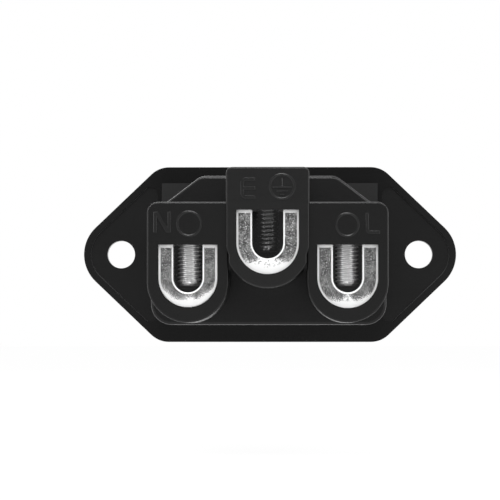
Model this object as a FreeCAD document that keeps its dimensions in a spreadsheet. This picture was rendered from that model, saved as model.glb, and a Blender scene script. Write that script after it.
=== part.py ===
import FreeCAD, Part
import math
import os
import Sketcher

# A panel inlet socket with three screw terminals, in millimetres.
# X runs across the panel, Z up to the earth pin, and Y from the mouth in front to the terminals behind.
# The origin is midway between the two fixing holes, on the face of the flange that sits on the panel.

FOLDER = "parts"
CLOSE = 1e-3  # lengths that differ by less than this are the same
TINY = 1e-6  # what rounding can add to a figure

# Each size is an alias, a value and what it measures.
SIZES = [
    ("hole_spacing", 40.0, "between the two fixing holes"),
    ("hole_diameter", 3.7, "fixing hole"),
    ("sink_diameter", 6.4, "countersink of a fixing hole, at the front, with sides at 45 degrees"),
    ("wing_radius", 5.0, "round end of the flange, about a fixing hole"),
    ("flange_height", 23.5, "flange, top to bottom"),
    ("flange_flat", 29.86, "straight top of the flange before its corners are rounded"),
    ("flange_corner", 3.4, "radius of the flange's four corners"),
    ("flange_thickness", 3.0, "flange"),
    ("flange_bevel", 0.4, "bevel of the flange's front edge"),
    ("rim_width", 1.0, "rim left round the recess in each wing"),
    ("recess_depth", 0.25, "recess in the back of each wing"),
    ("recess_start", 15.05, "from the middle to the inner side of a recess"),
    ("recess_margin", 2.7, "from the flange's top or bottom edge to a recess"),
    ("recess_corner", 0.9, "radius of the recess's inner corners"),
    ("recess_bevel", 0.15, "bevel of a recess's outer rim"),
    ("step_width", 28.9, "over the low steps that fill the upper corners of the panel's cut-out"),
    ("step_thickness", 1.5, "those low steps"),
    ("sleeve_width", 30.0, "body behind the flange"),
    ("sleeve_height", 19.0, "body behind the flange"),
    ("shoulder_across", 6.4, "slanted upper corner of the body, sideways"),
    ("shoulder_down", 4.85, "slanted upper corner of the body, downwards"),
    ("shoulder_round", 2.0, "radius where a slanted corner meets the top"),
    ("sleeve_corner", 2.6, "radius of the body's lower corners"),
    ("sleeve_edge", 0.35, "radius of the body's back edge"),
    ("cavity_width", 24.5, "mouth that takes the connector"),
    ("cavity_height", 16.6, "mouth that takes the connector"),
    ("cavity_depth", 16.2, "mouth, from the flange's front"),
    ("cavity_across", 5.2, "slanted upper corner of the mouth, sideways"),
    ("cavity_down", 4.2, "slanted upper corner of the mouth, downwards"),
    ("cavity_corner", 1.2, "radius of the mouth's lower corners"),
    ("mouth_chamfer", 0.5, "lead-in round the mouth"),
    ("floor_thickness", 1.8, "wall behind the mouth, which the pins pass through"),
    ("rim_wall", 0.8, "rim of the shell round the terminal block's spigot"),
    ("spigot_depth", 0.8, "spigot of the terminal block inside that rim"),
    ("joint_gap", 0.05, "clearance round a piece that is pushed into another"),
    ("plate_thickness", 1.2, "plate of the terminal block"),
    ("tower_length", 12.5, "how far the towers stand out of that plate"),
    ("tower_top", 5.5, "top of the line and neutral towers, above the origin"),
    ("tower_wall", 1.15, "tower beside its terminal"),
    ("tower_floor", 1.65, "tower under its terminal"),
    ("tower_corner", 1.4, "radius of an outer tower's upper corner"),
    ("tower_edge", 0.2, "radius round the back face of a tower"),
    ("earth_rise", 4.25, "earth terminal above the other two"),
    ("earth_floor", -1.46, "lowest point of the earth slot, above the origin"),
    ("earth_proud", 0.8, "earth tower's face behind the other two"),
    ("earth_bulge", 0.5, "how much wider the earth tower's round foot is than its neck, each side"),
    ("earth_jog", 0.3, "how much wider the earth tower is above its neck, each side"),
    ("jog_top", -0.15, "where the earth tower starts to narrow, above the origin"),
    ("jog_height", 0.85, "height over which the earth tower narrows"),
    ("earth_corner", 0.75, "radius of the earth tower's upper corners"),
    ("foot_blend", 0.25, "radius where the earth tower's foot runs into the outer towers"),
    ("pin_spacing", 14.0, "between the line and neutral pins"),
    ("pin_level", -2.0, "line and neutral pins, above the origin"),
    ("earth_pin_level", 2.0, "earth pin, above the origin"),
    ("pin_height", 4.0, "blade of a pin"),
    ("pin_setback", 4.0, "tips of the line and neutral pins behind the flange's front"),
    ("earth_setback", 2.0, "tip of the earth pin behind the flange's front"),
    ("tip_corner", 1.0, "radius of the corners of a pin's tip"),
    ("tip_bevel", 0.5, "bevel of the flat sides of a pin's tip"),
    ("strip_thickness", 2.0, "strip that a pin and its clamp are bent from"),
    ("strip_width", 9.4, "clamp, front to back"),
    ("tab_shoulder", 0.8, "step above and below a blade that stops it in the floor"),
    ("crank_run", 0.5, "straight strip between the earth clamp and the crank that leads to its pin"),
    ("crank_turn", 45.0, "degrees that the crank turns sideways, and back again"),
    ("slot_width", 3.6, "wire slot of the line and neutral clamps"),
    ("earth_slot", 3.8, "wire slot of the earth clamp"),
    ("slot_floor", -5.6, "lowest point of the line and neutral slots, above the origin"),
    ("window_height", 5.85, "clamp seen in its window, from the slot's floor up"),
    ("lip_overlap", 0.08, "lip of a window over the clamp's edge"),
    ("lip_thickness", 0.5, "lip of a window"),
    ("nut_lift", 0.15, "nut above the top of the window"),
    ("nut_thickness", 1.9, "bridge nut"),
    ("nut_depth", 5.0, "bridge nut, front to back"),
    ("leg_over_nut", 0.7, "clamp above its nut"),
    ("roof_gap", 0.1, "clearance over the clamp"),
    ("thread_diameter", 3.0, "thread of nut and screw"),
    ("thread_gap", 0.05, "screw inside the nut, all round"),
    ("screw_length", 8.7, "screw under its head"),
    ("screw_point", 0.4, "bevel of the screw's end"),
    ("head_diameter", 5.0, "screw head"),
    ("head_height", 1.5, "screw head"),
    ("head_bevel", 0.25, "bevel of the screw head's top"),
    ("driver_width", 0.8, "driver slot"),
    ("driver_depth", 0.8, "driver slot"),
    ("head_gap", 0.2, "hole round a screw head"),
    ("wire_gap", 0.9, "from a screw's end to the floor of its wire slot"),
]

# Places that follow from the sizes: an alias and a formula.
PLACES = [
    # Front to back.
    ("front", "-dims.flange_thickness"),
    ("floor_front", "places.front + dims.cavity_depth"),
    ("floor_back", "places.floor_front + dims.floor_thickness"),
    ("shell_back", "places.floor_back + dims.spigot_depth"),
    ("sleeve_root", "dims.flange_thickness / 2"),
    ("tower_root", "dims.plate_thickness / 2"),
    ("plate_back", "places.shell_back + dims.plate_thickness"),
    ("tower_back", "places.plate_back + dims.tower_length"),
    ("clamp_back", "places.tower_back - dims.lip_thickness"),
    ("clamp_front", "places.clamp_back - dims.strip_width"),
    ("screw_line", "places.clamp_back - dims.strip_width / 2"),
    ("earth_back", "places.tower_back + dims.earth_proud"),
    # The slanted edge of a wing: the angle of its normal, and where it runs into the round end.
    ("wing_run", "dims.flange_flat / 2 - dims.hole_spacing / 2"),
    ("wing_lean", "atan2(dims.flange_height / 2; places.wing_run)"),
    ("wing_reach", "sqrt(pow(places.wing_run; 2) + pow(dims.flange_height / 2; 2))"),
    ("slant", "places.wing_lean - acos(dims.wing_radius / places.wing_reach)"),
    ("wing_out", "dims.hole_spacing / 2 + dims.wing_radius * cos(places.slant)"),
    ("wing_up", "dims.wing_radius * sin(places.slant)"),
    ("recess_radius", "dims.wing_radius - dims.rim_width"),
    ("recess_out", "dims.hole_spacing / 2 + places.recess_radius * cos(places.slant)"),
    ("recess_up", "places.recess_radius * sin(places.slant)"),
    ("recess_rise", "dims.flange_height / 2 - dims.recess_margin"),
    ("recess_reach", "dims.hole_spacing / 2 + (places.recess_radius - places.recess_rise * sin(places.slant))"
                     " / cos(places.slant)"),
    # Terminals: the inner leg of an outer clamp runs straight on into its pin.
    ("terminal_out", "dims.pin_spacing / 2 + dims.strip_thickness / 2 + dims.slot_width / 2"),
    ("outer_radius", "dims.slot_width / 2 + dims.strip_thickness"),
    ("bend_level", "dims.slot_floor + dims.slot_width / 2"),
    ("earth_bend", "dims.earth_floor + dims.earth_slot / 2"),
    ("window_top", "dims.slot_floor + dims.window_height"),
    ("nut_bottom", "places.window_top + dims.nut_lift"),
    ("leg_top", "places.nut_bottom + dims.nut_thickness + dims.leg_over_nut"),
    ("head_level", "dims.slot_floor + dims.wire_gap + dims.screw_length"),
    ("tower_radius", "places.outer_radius + dims.joint_gap + dims.tower_wall"),
    ("tower_bend", "dims.slot_floor - dims.strip_thickness - dims.joint_gap - dims.tower_floor"
                   " + places.tower_radius"),
    # The earth tower stands between the other two and meets their inner walls.
    ("neck", "places.terminal_out - places.tower_radius"),
    ("foot_radius", "places.neck + dims.earth_bulge"),
    ("foot_level", "dims.slot_floor + dims.earth_rise - dims.strip_thickness - dims.joint_gap"
                   " - dims.tower_floor + places.foot_radius"),
    ("neck_end", "places.foot_level - sqrt(pow(places.foot_radius; 2) - pow(places.neck; 2))"),
    ("earth_top", "dims.tower_top + dims.earth_rise"),
    # Where the small round under each side of that tower leaves the foot.
    ("blend_level", "places.foot_level - sqrt(pow(places.foot_radius + dims.foot_blend; 2)"
                    " - pow(places.neck - dims.foot_blend; 2))"),
    ("blend_share", "places.foot_radius / (places.foot_radius + dims.foot_blend)"),
    ("blend_out", "(places.neck - dims.foot_blend) * places.blend_share"),
    ("blend_up", "places.foot_level - (places.foot_level - places.blend_level) * places.blend_share"),
    # The earth pin's strip is cranked sideways from a leg of the clamp to the middle.
    ("earth_leg", "dims.earth_slot / 2 + dims.strip_thickness / 2"),
    ("earth_front", "places.clamp_front + dims.earth_proud"),
    ("crank_start", "places.earth_front - dims.crank_run"),
    ("crank_end", "places.crank_start - places.earth_leg / tan(dims.crank_turn)"),
    ("crank_miter", "dims.strip_thickness / 2 * tan(dims.crank_turn / 2)"),
]

NOTHING = "0"

doc = FreeCAD.newDocument("panel_inlet_socket")
dims = doc.addObject("Spreadsheet::Sheet", "dims")
for row, (alias, size, meaning) in enumerate(SIZES, 1):
    dims.set(f"A{row}", alias)
    dims.set(f"B{row}", str(size))
    dims.setAlias(f"B{row}", alias)
    dims.set(f"C{row}", meaning)
places = doc.addObject("Spreadsheet::Sheet", "places")
for row, (alias, formula) in enumerate(PLACES, 1):
    places.set(f"A{row}", alias)
    places.setAlias(f"B{row}", alias)
    places.set(f"B{row}", "=" + formula)
doc.recompute()


def worth(formula):
    """The number that a formula gives now."""
    return float(places.evalExpression(formula))


def minus(formula):
    """The same distance on the other side of the middle."""
    return f"-({formula})"


def half(formula):
    """Half of a size."""
    return f"({formula}) / 2"


def times(side, formula):
    """A distance from the middle, to the right for side 1 and to the left for side -1."""
    return formula if side > 0 else minus(formula)


def new_body(label):
    """A sub-part, whose label is its name."""
    body = doc.addObject("PartDesign::Body", label)
    body.Label = label
    doc.recompute()
    return body


def sketch_on(body, name, role, level):
    """An empty sketch on one of the body's planes, moved along that plane's normal by a formula."""
    sketch = body.newObject("Sketcher::SketchObject", name)
    plane = next(item for item in body.Origin.OriginFeatures if item.Role == role)
    sketch.AttachmentSupport = [(plane, "")]
    sketch.MapMode = "FlatFace"
    sketch.setExpression("AttachmentOffset.Base.z", level)
    return sketch


def behind(body, name, level):
    """A sketch across the body, at a distance behind the panel face; its normal faces the front."""
    return sketch_on(body, name, "XZ_Plane", minus(level))


def pin_point(sketch, side, end, across, up):
    """Hold one end of a sketched side at its two distances from the origin."""
    for kind, formula in (("DistanceX", across), ("DistanceY", up)):
        number = sketch.addConstraint(Sketcher.Constraint(kind, -1, 1, side, end, worth(formula)))
        sketch.setExpression(f"Constraints[{number}]", formula)


def round_side(start, end, radius):
    """The arc from start to end that bulges to the right of that direction."""
    chord = end - start
    middle = (start + end) / 2
    inward = FreeCAD.Vector(-chord.y, chord.x, 0).normalize()
    rise = math.sqrt(max(radius ** 2 - (chord.Length / 2) ** 2, 0.0))
    centre = middle + inward * rise
    return Part.Arc(start, centre - inward * radius, end), centre


def outline(sketch, corners, rounds=None):
    """Draw a closed outline, counter-clockwise through corners that are pairs of formulas.

    rounds gives the radius of each side that is an arc. An arc that carries on smoothly from the
    side before it is held tangent to it, and any other by its radius.
    """
    rounds = rounds or {}
    spots = [FreeCAD.Vector(worth(across), worth(up), 0) for across, up in corners]
    count = len(spots)
    smooth = set()
    for side, start in enumerate(spots):
        end = spots[(side + 1) % count]
        if side not in rounds:
            sketch.addGeometry(Part.LineSegment(start, end))
            continue
        arc, centre = round_side(start, end, worth(rounds[side]))
        sketch.addGeometry(arc)
        before = start - spots[side - 1]
        if abs(before.dot(start - centre)) < TINY * before.Length:
            smooth.add(side)
    for side in range(count):
        following = (side + 1) % count
        kind = "Tangent" if following in smooth else "Coincident"
        sketch.addConstraint(Sketcher.Constraint(kind, side, 2, following, 1))
    for side, (across, up) in enumerate(corners):
        pin_point(sketch, side, 1, across, up)
    for side in sorted(set(rounds) - smooth):
        number = sketch.addConstraint(Sketcher.Constraint("Radius", side, worth(rounds[side])))
        sketch.setExpression(f"Constraints[{number}]", rounds[side])
    return sketch


def sided_outline(sketch, side, corners, rounds):
    """Draw an outline given for the right, or its mirror image for side -1."""
    if side > 0:
        return outline(sketch, corners, rounds)
    count = len(corners)
    flipped = [(minus(across), up) for across, up in reversed(corners)]
    return outline(sketch, flipped, {(count - 2 - number) % count: rounds[number] for number in rounds})


def box_outline(sketch, left, right, low, high):
    """Draw a rectangle between four formulas."""
    return outline(sketch, [(left, low), (right, low), (right, high), (left, high)])


def arch(sketch, centre, bend, radius, top):
    """Draw a U filled in: a flat top, two straight sides and a half-round foot."""
    left = f"{centre} - ({radius})"
    right = f"{centre} + ({radius})"
    return outline(sketch, [(left, top), (left, bend), (right, bend), (right, top)], {1: radius})


def circle(sketch, across, up, diameter):
    """Draw a circle at two formulas."""
    centre = FreeCAD.Vector(worth(across), worth(up), 0)
    sketch.addGeometry(Part.Circle(centre, FreeCAD.Vector(0, 0, 1), worth(diameter) / 2))
    pin_point(sketch, 0, 3, across, up)
    number = sketch.addConstraint(Sketcher.Constraint("Diameter", 0, worth(diameter)))
    sketch.setExpression(f"Constraints[{number}]", diameter)
    return sketch


def feature(body, kind, name, sketch, length, against=False):
    """A pad or a pocket of a sketch, along its normal or against it."""
    made = body.newObject(f"PartDesign::{kind}", name)
    made.Profile = sketch
    made.setExpression("Length", length)
    made.Reversed = against
    sketch.Visibility = False
    doc.recompute()
    return made


def pad(body, name, sketch, length, against=False):
    """Add material along the sketch's normal: towards the front for a sketch across the body."""
    return feature(body, "Pad", name, sketch, length, against)


def pocket(body, name, sketch, length, against=False):
    """Take material away against the sketch's normal: towards the back for a sketch across."""
    before = body.Shape.Volume
    made = feature(body, "Pocket", name, sketch, length, against)
    if not made.Shape.Volume < before - TINY:
        raise RuntimeError(f"{body.Label}: {name} cuts nothing")
    return made


def edge_names(shape, wanted):
    """The names of the edges that a test picks out."""
    return [f"Edge{number}" for number, edge in enumerate(shape.Edges, 1) if wanted(edge)]


def dress(body, kind, name, wanted, size, radius):
    """Fillet or chamfer the picked edges of the body as it stands."""
    tip = body.Tip
    names = edge_names(tip.Shape, wanted)
    if not names:
        raise RuntimeError(f"{body.Label}: {name} finds no edge")
    made = body.newObject(f"PartDesign::{kind}", name)
    made.Base = (tip, names)
    made.setExpression(size, radius)
    doc.recompute()
    return made


def fillet(body, name, wanted, radius):
    """Round the picked edges."""
    return dress(body, "Fillet", name, wanted, "Radius", radius)


def chamfer(body, name, wanted, size):
    """Bevel the picked edges."""
    return dress(body, "Chamfer", name, wanted, "Size", size)


def near(one, other):
    """Two lengths that are the same, but for rounding."""
    return abs(one - other) < CLOSE


def running(axis, spots, low=-math.inf, high=math.inf):
    """A test for straight edges along X, Y or Z (0, 1 or 2) through spots given by the other two."""
    others = [number for number in range(3) if number != axis]
    wanted = [(worth(first), worth(second)) for first, second in spots]

    def test(edge):
        ends = [vertex.Point for vertex in edge.Vertexes]
        if len(ends) != 2 or not isinstance(edge.Curve, Part.Line):
            return False
        if any(not near(ends[0][number], ends[1][number]) for number in others):
            return False
        if min(ends[0][axis], ends[1][axis]) < low - CLOSE or max(ends[0][axis], ends[1][axis]) > high + CLOSE:
            return False
        return any(near(ends[0][others[0]], first) and near(ends[0][others[1]], second)
                   for first, second in wanted)
    return test


def lying_at(level, inside=None):
    """A test for edges that lie at one distance behind the panel face, within a half width if given."""
    depth = worth(level)
    reach = math.inf if inside is None else worth(inside) + CLOSE

    def test(edge):
        box = edge.BoundBox
        flat = near(box.YMin, depth) and near(box.YMax, depth)
        return flat and max(abs(box.XMin), abs(box.XMax)) < reach
    return test


def mirrored(corners):
    """The same spots left and right of the middle."""
    return [(times(side, across), up) for across, up in corners for side in (1, -1)]


# The outlines that two pieces share.

def shouldered(sketch, width, height, across, down):
    """Draw a rectangle with its two upper corners cut off."""
    side, top = half(width), half(height)
    low = minus(top)
    return outline(sketch, [
        (minus(side), low), (side, low),
        (side, f"{top} - {down}"), (f"{side} - {across}", top),
        (minus(f"{side} - {across}"), top), (minus(side), f"{top} - {down}"),
    ])


def sleeve_outline(body, name, level, inset=NOTHING):
    """The outline of the body behind the flange, or that outline with all its walls moved in."""
    return shouldered(behind(body, name, level),
                      f"(dims.sleeve_width - 2 * ({inset}))", f"(dims.sleeve_height - 2 * ({inset}))",
                      "dims.shoulder_across", f"(dims.shoulder_down - ({inset}) / 2)")


def round_sleeve(body, name, low, high, inset=NOTHING):
    """Round the upright corners of that outline."""
    side = f"(dims.sleeve_width / 2 - ({inset}))"
    top = f"(dims.sleeve_height / 2 - ({inset}))"
    feet = running(1, mirrored([(side, minus(top))]), worth(low), worth(high))
    fillet(body, name + "_feet", feet, f"dims.sleeve_corner - ({inset})")
    heads = running(1, mirrored([(f"{side} - dims.shoulder_across", top)]), worth(low), worth(high))
    fillet(body, name + "_shoulders", heads, "dims.shoulder_round")


def wing_corners(corner_out, corner_up, tangent_out, tangent_up):
    """The corners of a six-sided plate whose two points are rounded, counter-clockwise."""
    return [
        (minus(corner_out), minus(corner_up)), (corner_out, minus(corner_up)),
        (tangent_out, minus(tangent_up)), (tangent_out, tangent_up),
        (corner_out, corner_up), (minus(corner_out), corner_up),
        (minus(tangent_out), tangent_up), (minus(tangent_out), minus(tangent_up)),
    ]


# The front shell: flange, mouth and body in one moulding.

def make_front_shell():
    """The flange with its two wings, the sleeve behind it and the mouth in front."""
    shell = new_body("front_shell")
    flat = half("dims.flange_flat")
    rise = half("dims.flange_height")
    sheet = outline(behind(shell, "flange_outline", NOTHING),
                    wing_corners(flat, rise, "places.wing_out", "places.wing_up"),
                    {2: "dims.wing_radius", 6: "dims.wing_radius"})
    pad(shell, "flange", sheet, "dims.flange_thickness")
    corners = mirrored([(flat, rise), (flat, minus(rise))])
    fillet(shell, "flange_corners", running(1, corners), "dims.flange_corner")
    chamfer(shell, "flange_edge", lying_at("places.front"), "dims.flange_bevel")

    pad(shell, "sleeve", sleeve_outline(shell, "sleeve_outline", "places.shell_back"),
        "places.shell_back + places.sleeve_root")
    round_sleeve(shell, "sleeve", NOTHING, "places.shell_back")
    top = half("dims.sleeve_height")
    steps = box_outline(behind(shell, "steps_outline", "dims.step_thickness"),
                        minus(half("dims.step_width")), half("dims.step_width"),
                        f"{top} - dims.shoulder_down", top)
    pad(shell, "steps", steps, "dims.step_thickness + places.sleeve_root")

    for side, wing in ((1, "right"), (-1, "left")):
        recess_wing(shell, wing, side)
        fixing_hole(shell, wing, side)

    cavity = shouldered(behind(shell, "cavity_outline", "places.front"), "dims.cavity_width",
                        "dims.cavity_height", "dims.cavity_across", "dims.cavity_down")
    pocket(shell, "cavity", cavity, "dims.cavity_depth")
    feet = mirrored([(half("dims.cavity_width"), minus(half("dims.cavity_height")))])
    fillet(shell, "cavity_corners", running(1, feet), "dims.cavity_corner")
    chamfer(shell, "mouth_lead_in", lying_at("places.front", half("dims.cavity_width")), "dims.mouth_chamfer")

    seat = sleeve_outline(shell, "seat_outline", "places.shell_back", "dims.rim_wall")
    pocket(shell, "spigot_seat", seat, "dims.spigot_depth", against=True)
    round_sleeve(shell, "seat", "places.floor_back", "places.shell_back", "dims.rim_wall")

    for name, centre, level in PINS:
        reach = "(dims.strip_thickness / 2 + dims.joint_gap)"
        rise = "(dims.pin_height / 2 + dims.joint_gap)"
        slit = box_outline(behind(shell, f"{name}_slit_outline", "places.floor_front"),
                           f"{centre} - {reach}", f"{centre} + {reach}",
                           f"{level} - {rise}", f"{level} + {rise}")
        pocket(shell, f"{name}_slit", slit, "dims.floor_thickness")
    return shell


def recess_wing(shell, wing, side):
    """The shallow recess in the back of a wing, inside its rim."""
    inner = "dims.recess_start"
    rise = "places.recess_rise"
    hollow = sided_outline(behind(shell, f"{wing}_recess_outline", NOTHING), side, [
        (inner, minus(rise)), ("places.recess_reach", minus(rise)),
        ("places.recess_out", minus("places.recess_up")), ("places.recess_out", "places.recess_up"),
        ("places.recess_reach", rise), (inner, rise),
    ], {2: "places.recess_radius"})
    pocket(shell, f"{wing}_recess", hollow, "dims.recess_depth", against=True)
    spots = [(times(side, inner), rise), (times(side, inner), minus(rise))]
    low = -worth("dims.recess_depth")
    fillet(shell, f"{wing}_recess_corners", running(1, spots, low, 0), "dims.recess_corner")
    bend = worth("places.recess_reach")
    end = worth("dims.hole_spacing / 2 + places.recess_radius")
    top = worth(rise)

    def outer_rim(edge):
        box = edge.BoundBox
        reach = max(side * box.XMin, side * box.XMax)
        return (near(box.YMin, 0) and near(box.YMax, 0) and max(box.ZMax, -box.ZMin) < top + CLOSE
                and bend + CLOSE < reach < end + CLOSE)
    chamfer(shell, f"{wing}_recess_edge", outer_rim, "dims.recess_bevel")


def fixing_hole(shell, wing, side):
    """A fixing hole, countersunk at the front."""
    centre = times(side, half("dims.hole_spacing"))
    hole = circle(behind(shell, f"{wing}_hole_circle", "places.front"), centre, NOTHING, "dims.hole_diameter")
    pocket(shell, f"{wing}_hole", hole, "dims.flange_thickness")
    cone = sketch_on(shell, f"{wing}_sink_outline", "XY_Plane", NOTHING)
    outline(cone, [(centre, "places.front"), (f"{centre} + dims.sink_diameter / 2", "places.front"),
                   (centre, "places.front + dims.sink_diameter / 2")])
    sink = shell.newObject("PartDesign::Groove", f"{wing}_sink")
    sink.Profile = cone
    sink.ReferenceAxis = (cone, ["Edge3"])
    sink.Angle = 360
    doc.recompute()


# The terminal block: the plate that closes the shell, with a tower for each terminal.

def make_terminal_block():
    """The plate, its spigot and the three towers, hollowed out for the terminals."""
    block = new_body("terminal_block")
    pad(block, "plate", sleeve_outline(block, "plate_outline", "places.plate_back"), "dims.plate_thickness")
    round_sleeve(block, "plate", "places.shell_back", "places.plate_back")
    fillet(block, "plate_edge", lying_at("places.plate_back"), "dims.sleeve_edge")
    inset = "(dims.rim_wall + dims.joint_gap)"
    spigot = sleeve_outline(block, "spigot_outline", "places.shell_back", inset)
    pad(block, "spigot", spigot, "dims.spigot_depth")
    round_sleeve(block, "spigot", "places.floor_back", "places.shell_back", inset)

    length = "(dims.tower_length + places.tower_root)"
    outer = "places.terminal_out + places.tower_radius"
    for name, side in (("neutral", 1), ("line", -1)):
        tower = sided_outline(behind(block, f"{name}_tower_outline", "places.tower_back"), side, [
            ("places.neck", "dims.tower_top"), ("places.neck", "places.tower_bend"),
            (outer, "places.tower_bend"), (outer, "dims.tower_top - dims.tower_corner"),
            (f"{outer} - dims.tower_corner", "dims.tower_top"),
        ], {1: "places.tower_radius", 3: "dims.tower_corner"})
        pad(block, f"{name}_tower", tower, length)
    fillet(block, "tower_edges", lying_at("places.tower_back"), "dims.tower_edge")

    neck = "places.neck"
    wide = "(places.neck + dims.earth_jog)"
    right = [
        (neck, "places.neck_end"), (neck, "dims.jog_top - dims.jog_height"), (wide, "dims.jog_top"),
        (wide, "places.earth_top - dims.earth_corner"), (f"{wide} - dims.earth_corner", "places.earth_top"),
    ]
    left = [(minus(across), up) for across, up in reversed(right)]
    middle = outline(behind(block, "earth_tower_outline", "places.earth_back"), right + left, {
        3: "dims.earth_corner", len(right): "dims.earth_corner", 2 * len(right) - 1: "places.foot_radius"})
    pad(block, "earth_tower", middle, f"{length} + dims.earth_proud")
    fillet(block, "earth_edge", lying_at("places.earth_back"), "dims.tower_edge")

    # A small round fills the sharp corner between the earth tower's foot and each outer tower.
    inside = f"({neck} + dims.tower_edge)"
    for name, side in (("neutral", 1), ("line", -1)):
        sheet = behind(block, f"{name}_blend_outline", "places.tower_back - dims.tower_edge")
        sided_outline(sheet, side, [
            (neck, "places.blend_level"), ("places.blend_out", "places.blend_up"),
            (inside, "places.foot_level"), (inside, "places.blend_level"),
        ], {0: "dims.foot_blend"})
        pad(block, f"{name}_blend", sheet, f"{length} - dims.tower_edge")

    for terminal in TERMINALS:
        hollow_tower(block, *terminal)
    return block


def hollow_tower(block, name, centre, bend, slot, rise, proud):
    """The chamber of a terminal, the window behind it and the hole that its screw comes down."""
    outer = f"({slot} / 2 + dims.strip_thickness"
    chamber = arch(behind(block, f"{name}_chamber_outline", "places.floor_back"),
                   centre, bend, f"{outer} + dims.joint_gap)", f"places.leg_top + {rise} + dims.roof_gap")
    pocket(block, f"{name}_chamber", chamber, f"places.clamp_back + {proud} - places.floor_back")
    window = arch(behind(block, f"{name}_window_outline", f"places.clamp_back + {proud}"),
                  centre, bend, f"{outer} - dims.lip_overlap)", f"places.window_top + {rise}")
    pocket(block, f"{name}_window", window, "dims.lip_thickness")
    hole = circle(sketch_on(block, f"{name}_screw_hole_circle", "XY_Plane", f"dims.tower_top + {rise}"),
                  centre, f"places.screw_line + {proud}", "dims.head_diameter + 2 * dims.head_gap")
    pocket(block, f"{name}_screw_hole", hole, "dims.tower_top - places.leg_top")


# The contacts: a pin and its wire clamp, bent from one strip.

def make_contact(name, centre, bend, slot, rise, proud, pin, pin_level, setback):
    """A contact: a U-shaped clamp, the strip that leads forward from it, and the pin's blade."""
    contact = new_body(f"{name}_contact")
    back = f"places.clamp_back + {proud}"
    top = f"places.leg_top + {rise}"
    outer = f"({slot} / 2 + dims.strip_thickness)"
    cage = arch(behind(contact, "clamp_outline", back), centre, bend, outer, top)
    pad(contact, "clamp", cage, "dims.strip_width")
    slit = arch(behind(contact, "slot_outline", back), centre, bend, f"({slot} / 2)",
                f"{top} + dims.strip_thickness")
    pocket(contact, "slot", slit, "dims.strip_width", against=True)

    low = f"{pin_level} - dims.pin_height / 2"
    high = f"{pin_level} + dims.pin_height / 2"
    left = f"{pin} - dims.strip_thickness / 2"
    right = f"{pin} + dims.strip_thickness / 2"
    if name == "earth":
        crank = outline(sketch_on(contact, "crank_outline", "XY_Plane", f"{low} - dims.tab_shoulder"), [
            (left, "places.floor_back"), (right, "places.floor_back"),
            (right, "places.crank_end - places.crank_miter"),
            ("places.earth_leg + dims.strip_thickness / 2", "places.crank_start - places.crank_miter"),
            ("places.earth_leg + dims.strip_thickness / 2", "places.earth_front"),
            ("places.earth_leg - dims.strip_thickness / 2", "places.earth_front"),
            ("places.earth_leg - dims.strip_thickness / 2", "places.crank_start + places.crank_miter"),
            (left, "places.crank_end + places.crank_miter")])
        pad(contact, "crank", crank, "dims.pin_height + 2 * dims.tab_shoulder")
    else:
        tab = box_outline(behind(contact, "tab_outline", "places.clamp_front"), left, right,
                          f"{low} - dims.tab_shoulder", f"{high} + dims.tab_shoulder")
        pad(contact, "tab", tab, "places.clamp_front - places.floor_back")
    blade = box_outline(behind(contact, "blade_outline", "places.floor_back"), left, right, low, high)
    pad(contact, "blade", blade, f"places.floor_back - places.front - {setback}")
    tip = f"places.front + {setback}"
    fillet(contact, "tip_corners", running(0, [(tip, low), (tip, high)]), "dims.tip_corner")
    flats = [worth(left), worth(right)]

    def tip_flat(edge):
        box = edge.BoundBox
        return (near(box.YMin, worth(tip)) and near(box.XMin, box.XMax)
                and any(near(box.XMin, flat) for flat in flats))
    chamfer(contact, "tip_bevels", tip_flat, "dims.tip_bevel")

    sheet = sketch_on(contact, "nut_seat_outline", "YZ_Plane", f"{centre} - {outer}")
    nut_low = f"places.nut_bottom + {rise}"
    middle = f"places.screw_line + {proud}"
    reach = "(dims.nut_depth / 2 + dims.joint_gap)"
    box_outline(sheet, f"{middle} - {reach}", f"{middle} + {reach}", nut_low,
                f"{nut_low} + dims.nut_thickness + dims.joint_gap")
    pocket(contact, "nut_seats", sheet, f"2 * {outer}", against=True)
    return contact


# The bridge nuts, each through both legs of its clamp.

def make_nut(name, centre, slot, rise, proud):
    """A flat bar with a tapped hole."""
    nut = new_body(f"{name}_nut")
    side = f"({slot} / 2 + dims.strip_thickness - dims.joint_gap)"
    bar = box_outline(sketch_on(nut, "bar_outline", "XY_Plane", NOTHING), minus(side), side,
                      minus(half("dims.nut_depth")), half("dims.nut_depth"))
    pad(nut, "bar", bar, "dims.nut_thickness")
    hole = circle(sketch_on(nut, "thread_circle", "XY_Plane", "dims.nut_thickness"), NOTHING, NOTHING,
                  "dims.thread_diameter")
    pocket(nut, "thread", hole, "dims.nut_thickness")
    put(nut, centre, f"places.screw_line + {proud}", f"places.nut_bottom + {rise}")
    return nut


# The clamp screws.

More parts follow.
